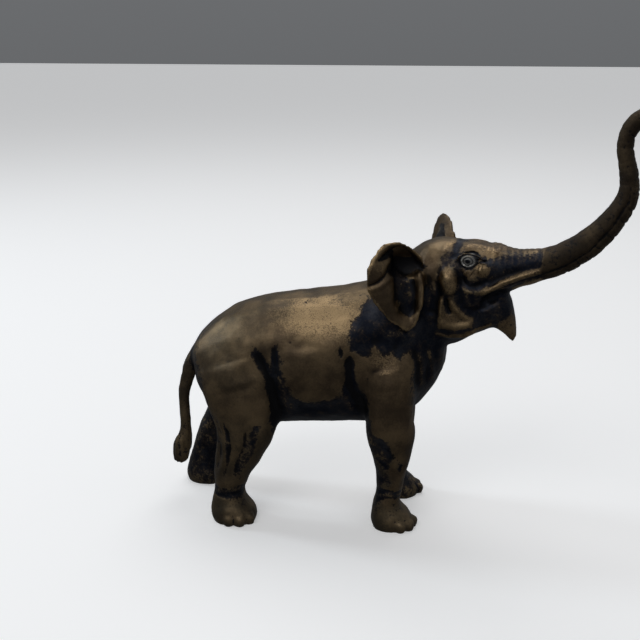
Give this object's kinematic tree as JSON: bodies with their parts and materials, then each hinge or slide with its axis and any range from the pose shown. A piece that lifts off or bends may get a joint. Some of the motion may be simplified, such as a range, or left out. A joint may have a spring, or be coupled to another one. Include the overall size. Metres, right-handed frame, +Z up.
{
  "type": "elephant sculpture",
  "caption": "Striding elephant in aged cast bronze, head turned aside, mouth open, trunk raised in an S-curve, standing freely on its own flat-soled feet.",
  "frame": {"origin": "centre of the underside of the bounding box, in the plane of the soles", "axes": "+X the way the elephant faces, +Y to its left, +Z up"},
  "size_m": [0.1426, 0.0488, 0.1278],
  "materials": {
    "bronze": "near-black patina, rubbed through to brownish gold on the high and handled areas, softly polished"
  },
  "bodies": {
    "root": {"elephant": "bronze"}
  },
  "joints": []
}
